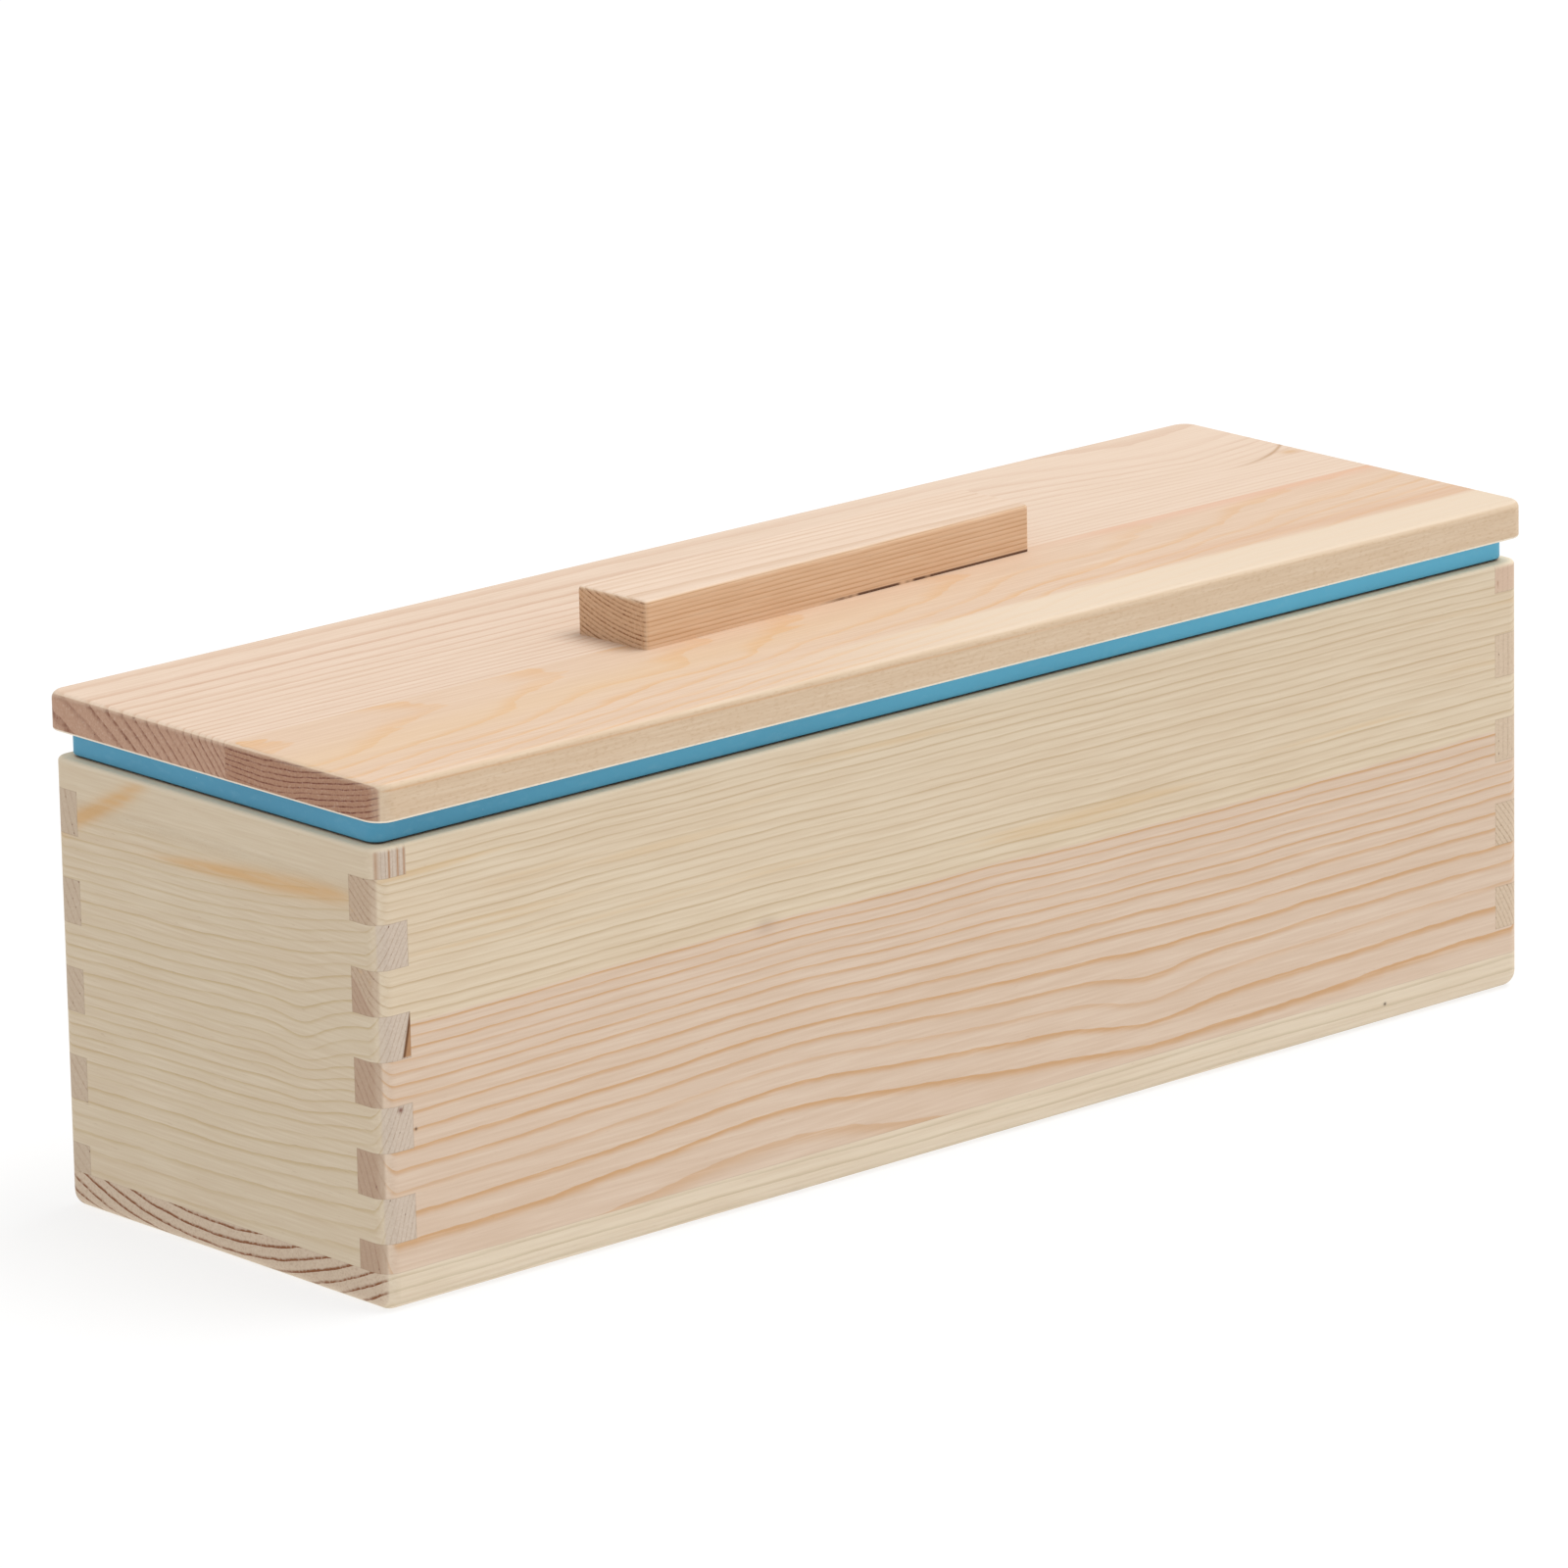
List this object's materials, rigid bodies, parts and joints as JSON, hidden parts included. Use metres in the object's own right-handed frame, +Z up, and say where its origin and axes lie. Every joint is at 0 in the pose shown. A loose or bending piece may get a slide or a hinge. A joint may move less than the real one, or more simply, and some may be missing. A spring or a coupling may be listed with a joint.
{
  "type": "butter mold",
  "caption": "Long finger-jointed wooden box holding a removable soft silicone liner, with a loose flat wooden lid that has a bar handle.",
  "frame": {"origin": "middle of the flat underside of the box's bottom board", "axes": "+X along the box's length, -Y towards the front wall, +Z up"},
  "size_m": [0.2804, 0.0924, 0.1042],
  "materials": {
    "pine_bottom": "bare pine, sanded",
    "pine_walls": "bare pine, sanded",
    "pine_ends": "bare pine, sanded",
    "blue_silicone": "moulded silicone, satin",
    "pine_lid": "bare pine, sanded",
    "pine_handle": "bare pine, sanded"
  },
  "bodies": {
    "box": {"bottom_board": "pine_bottom", "front_wall": "pine_walls", "rear_wall": "pine_walls", "left_end_wall": "pine_ends", "right_end_wall": "pine_ends"},
    "liner": {"silicone_liner": "blue_silicone"},
    "lid": {"lid_front_stave": "pine_lid", "lid_rear_stave": "pine_lid", "lid_handle": "pine_handle"}
  },
  "joints": [
    {"name": "liner_lift", "type": "slide", "parent": "box", "child": "liner", "axis": [0, 0, 1], "range_m": [0, 0.1]},
    {"name": "lid_lift", "type": "slide", "parent": "liner", "child": "lid", "axis": [0, 0, 1], "range_m": [0, 0.08]}
  ]
}
